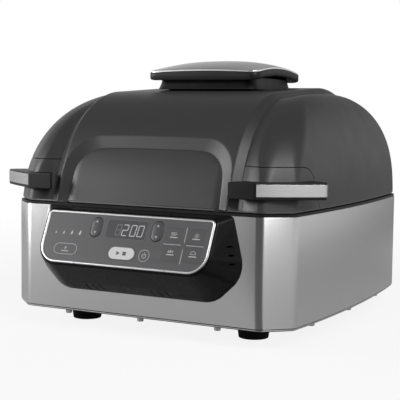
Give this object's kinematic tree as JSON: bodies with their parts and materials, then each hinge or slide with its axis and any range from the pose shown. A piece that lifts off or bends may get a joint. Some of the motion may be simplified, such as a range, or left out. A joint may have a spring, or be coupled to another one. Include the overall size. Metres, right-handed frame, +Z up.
{
  "type": "electric indoor grill with lid",
  "caption": "Countertop electric grill: brushed steel base with slanted control panel and rear-hinged domed lid with wing handles, lift-out pot, ridged grate and lid fan.",
  "frame": {"origin": "on the resting plane under the middle of the bounding box", "axes": "+X to the viewer's right, the front with the control panel faces -Y, +Z up"},
  "size_m": [0.372, 0.4294, 0.282],
  "materials": {
    "brushed_steel_wrap": "satin brushed",
    "steel_sheet": "satin",
    "black_plastic": "satin",
    "lid_plastic": "satin",
    "gloss_black": "gloss",
    "fascia_grey": "satin",
    "display_dark": "gloss",
    "key_dark": "satin",
    "key_white": "satin",
    "bright_trim": "polished",
    "cap_steel": "brushed",
    "wing_trim": "satin",
    "rubber_foot": "matte",
    "nonstick": "matte non-stick coating",
    "grate_coat": "matte non-stick coating",
    "board_green": "matte",
    "zinc_screw": "satin",
    "rod_dark": "matte oxide",
    "aluminium_fan": "satin",
    "motor_steel": "satin"
  },
  "bodies": {
    "base": {"steel_band": "brushed_steel_wrap", "base_plate": "black_plastic", "feet": "rubber_foot", "rim_trim": "black_plastic", "inner_well": "steel_sheet", "cooking_pot": "nonstick", "grill_grate": "grate_coat", "control_housing": "gloss_black", "fascia": "fascia_grey", "fascia_trim": "bright_trim", "display_window": "display_dark", "control_board": "board_green", "power_board": "board_green", "cord_gland": "black_plastic", "rear_vent": "black_plastic", "hinge_bracket": "black_plastic", "hinge_pin": "zinc_screw", "base_screws": "zinc_screw"},
    "lid": {"lid_side_left": "lid_plastic", "lid_side_right": "lid_plastic", "lid_arch": "lid_plastic", "lid_front_panel": "lid_plastic", "lid_frame": "steel_sheet", "lid_liner": "steel_sheet", "handle_left": "black_plastic", "handle_right": "black_plastic", "handle_trim_left": "wing_trim", "handle_trim_right": "wing_trim", "cap_pedestal": "black_plastic", "cap_rim": "black_plastic", "cap_plate": "cap_steel", "motor_bracket": "steel_sheet", "fan_motor": "motor_steel", "heating_element": "rod_dark", "element_clips": "steel_sheet", "splatter_shield": "steel_sheet", "temperature_sensor": "steel_sheet", "lid_hinge_arm": "black_plastic"},
    "fan_rotor": {"motor_shaft": "zinc_screw", "convection_fan": "aluminium_fan", "cooling_fan": "key_dark"},
    "grill_button": {"grill_button": "fascia_grey"},
    "start_stop_button": {"start_stop_button": "key_white"},
    "power_button": {"power_button": "key_dark"},
    "function_key_1": {"function_key_1": "fascia_grey"},
    "function_key_2": {"function_key_2": "fascia_grey"},
    "function_key_3": {"function_key_3": "fascia_grey"},
    "function_key_4": {"function_key_4": "fascia_grey"},
    "temp_rocker": {"temp_rocker": "key_dark"},
    "time_rocker": {"time_rocker": "key_dark"}
  },
  "joints": [
    {"name": "lid_hinge", "type": "hinge", "parent": "base", "child": "lid", "pos_m": [0, 0.20119, 0.1325], "axis": [-1, 0, 0], "range_deg": [0, 85]},
    {"name": "fan_spin", "type": "hinge", "parent": "lid", "child": "fan_rotor", "pos_m": [0, -0.00761, 0.2], "axis": [0, 0, 1], "continuous": true},
    {"name": "grill_button_press", "type": "slide", "parent": "base", "child": "grill_button", "axis": [0, 0.9063, -0.4226], "range_m": [0, 0.0005], "stiffness_N_per_m": 1500, "springref_m": -0.0002},
    {"name": "start_stop_button_press", "type": "slide", "parent": "base", "child": "start_stop_button", "axis": [0, 0.9063, -0.4226], "range_m": [0, 0.0005], "stiffness_N_per_m": 1500, "springref_m": -0.0002},
    {"name": "power_button_press", "type": "slide", "parent": "base", "child": "power_button", "axis": [0, 0.9063, -0.4226], "range_m": [0, 0.0005], "stiffness_N_per_m": 1500, "springref_m": -0.0002},
    {"name": "function_key_1_press", "type": "slide", "parent": "base", "child": "function_key_1", "axis": [0, 0.9063, -0.4226], "range_m": [0, 0.0005], "stiffness_N_per_m": 1500, "springref_m": -0.0002},
    {"name": "function_key_2_press", "type": "slide", "parent": "base", "child": "function_key_2", "axis": [0, 0.9063, -0.4226], "range_m": [0, 0.0005], "stiffness_N_per_m": 1500, "springref_m": -0.0002},
    {"name": "function_key_3_press", "type": "slide", "parent": "base", "child": "function_key_3", "axis": [0, 0.9063, -0.4226], "range_m": [0, 0.0005], "stiffness_N_per_m": 1500, "springref_m": -0.0002},
    {"name": "function_key_4_press", "type": "slide", "parent": "base", "child": "function_key_4", "axis": [0, 0.9063, -0.4226], "range_m": [0, 0.0005], "stiffness_N_per_m": 1500, "springref_m": -0.0002},
    {"name": "temp_rocker_tilt", "type": "hinge", "parent": "base", "child": "temp_rocker", "pos_m": [-0.0348, -0.19267, 0.10803], "axis": [1, 0, 0], "range_deg": [-3, 3], "stiffness_Nm_per_rad": 0.3},
    {"name": "time_rocker_tilt", "type": "hinge", "parent": "base", "child": "time_rocker", "pos_m": [0.0348, -0.19267, 0.10803], "axis": [1, 0, 0], "range_deg": [-3, 3], "stiffness_Nm_per_rad": 0.3}
  ]
}
